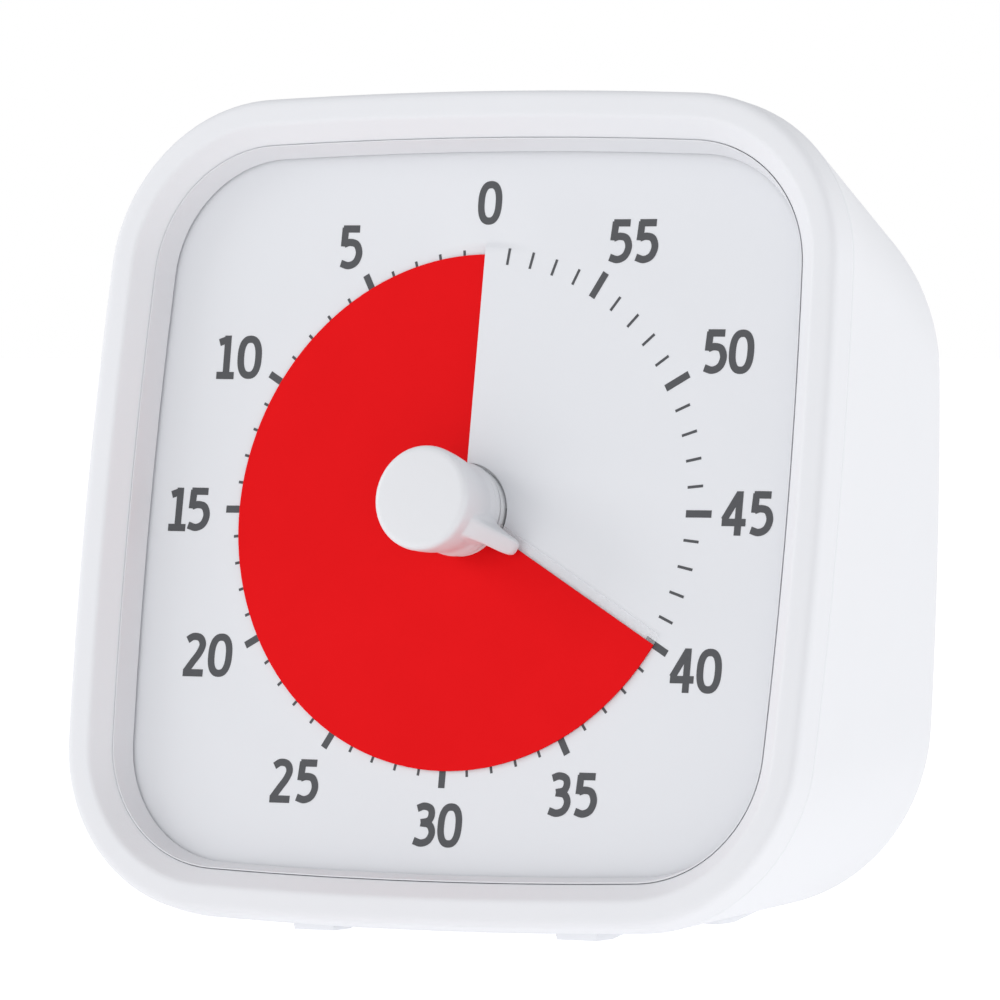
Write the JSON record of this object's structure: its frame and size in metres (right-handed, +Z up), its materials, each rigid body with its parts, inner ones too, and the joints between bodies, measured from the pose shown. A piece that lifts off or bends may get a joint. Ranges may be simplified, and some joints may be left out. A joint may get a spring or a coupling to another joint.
{
  "type": "visual countdown timer",
  "caption": "Rounded-square tabletop countdown timer: leaning white case in a soft sleeve, centre knob with pointer, red disc that winds through a slit in the dial.",
  "frame": {"origin": "centre of the overall bounding box in plan, on the surface the feet stand on", "axes": "+Z up, +Y from the dial towards the back, +X to the right of someone facing the dial; the dial leans back 10 degrees"},
  "size_m": [0.0922, 0.0549, 0.092],
  "materials": {
    "blue_wire": "PVC",
    "board_green": "solder mask",
    "bobbin_black": "moulded",
    "brass": "turned",
    "buzzer_black": "moulded",
    "can_steel": "drawn can",
    "capacitor_blue": "sleeved",
    "cell_label": "plain label",
    "chip_black": "epoxy",
    "clear_sheet": "satin, translucent",
    "copper": "enamelled",
    "dial_white": "matt print",
    "foot_rubber": "matt",
    "gear_acetal": "moulded acetal",
    "gear_blue": "moulded acetal",
    "knob_white": "semi-gloss",
    "lamination": "stamped",
    "magnet": "sintered",
    "movement_grey": "moulded",
    "red_sheet": "satin",
    "red_wire": "PVC",
    "resistor_black": "fired",
    "spring_steel": "bright",
    "switch_black": "moulded",
    "tinned": "tinned",
    "white_abs": "fine satin",
    "white_silicone": "soft satin",
    "zinc_screw": "zinc plated"
  },
  "bodies": {
    "case": {"battery": "cell_label", "battery_wires": "red_wire", "buzzer": "buzzer_black", "capacitor": "capacitor_blue", "case_screws": "zinc_screw", "circuit_board": "board_green", "clock_chip": "chip_black", "coil_bobbin": "bobbin_black", "coil_core": "lamination", "coil_winding": "copper", "coil_wires": "blue_wire", "contact_plate": "tinned", "contact_spring": "tinned", "crystal": "can_steel", "dial_plate": "dial_white", "feet": "foot_rubber", "front_bezel": "white_abs", "movement_front": "movement_grey", "movement_rear": "movement_grey", "movement_screws": "zinc_screw", "rear_shell": "white_abs", "resistors": "resistor_black", "silicone_sleeve": "white_silicone", "sound_switch": "switch_black", "stator": "lamination"},
    "knob_body": {"knob": "knob_white", "arbor": "brass", "clutch_spring": "spring_steel", "clutch_clip": "gear_acetal"},
    "disc": {"time_disc": "red_sheet", "disc_edge": "clear_sheet", "disc_hub": "knob_white"},
    "minute": {"minute_wheel": "gear_acetal"},
    "third": {"third_wheel": "gear_blue"},
    "seconds": {"seconds_wheel": "gear_acetal"},
    "intermediate": {"intermediate_wheel": "gear_blue"},
    "rotor_body": {"rotor": "magnet"},
    "door": {"battery_door": "white_abs"},
    "slider": {"switch_slider": "switch_black"}
  },
  "joints": [
    {"name": "knob_turn", "type": "hinge", "parent": "case", "child": "knob_body", "pos_m": [0, -0.0149, 0.04605], "axis": [0, -0.9848, 0.1736], "range_deg": [-240, 120]},
    {"name": "disc_thread", "type": "slide", "parent": "knob_body", "child": "disc", "axis": [0, -0.9848, 0.1736], "range_m": [-0.00055, 0.00028]},
    {"name": "rotor_spin", "type": "hinge", "parent": "case", "child": "rotor_body", "pos_m": [0.00086, -0.00559, 0.02974], "axis": [0, -0.9848, 0.1736], "continuous": true},
    {"name": "intermediate_spin", "type": "hinge", "parent": "case", "child": "intermediate", "pos_m": [-0.00474, -0.00559, 0.02974], "axis": [0, -0.9848, 0.1736], "continuous": true},
    {"name": "seconds_spin", "type": "hinge", "parent": "case", "child": "seconds", "pos_m": [-0.00993, -0.00507, 0.03269], "axis": [0, -0.9848, 0.1736], "continuous": true},
    {"name": "third_spin", "type": "hinge", "parent": "case", "child": "third", "pos_m": [-0.00846, -0.00362, 0.04093], "axis": [0, -0.9848, 0.1736], "continuous": true},
    {"name": "minute_spin", "type": "hinge", "parent": "case", "child": "minute", "pos_m": [0, -0.00801, 0.04483], "axis": [0, -0.9848, 0.1736], "continuous": true},
    {"name": "door_lift", "type": "slide", "parent": "case", "child": "door", "axis": [0, 0.9987, -0.0506], "range_m": [0, 0.025]},
    {"name": "sound_slide", "type": "slide", "parent": "case", "child": "slider", "axis": [1, 0, 0], "range_m": [0, 0.002]}
  ],
  "couplings": [
    {"joint": "disc_thread", "follows": "knob_turn", "m_per_rad": 0.00012732},
    {"joint": "intermediate_spin", "follows": "rotor_spin", "ratio": -0.16667},
    {"joint": "seconds_spin", "follows": "rotor_spin", "ratio": 0.033333},
    {"joint": "third_spin", "follows": "rotor_spin", "ratio": -0.0044444},
    {"joint": "minute_spin", "follows": "rotor_spin", "ratio": 0.00055556}
  ]
}
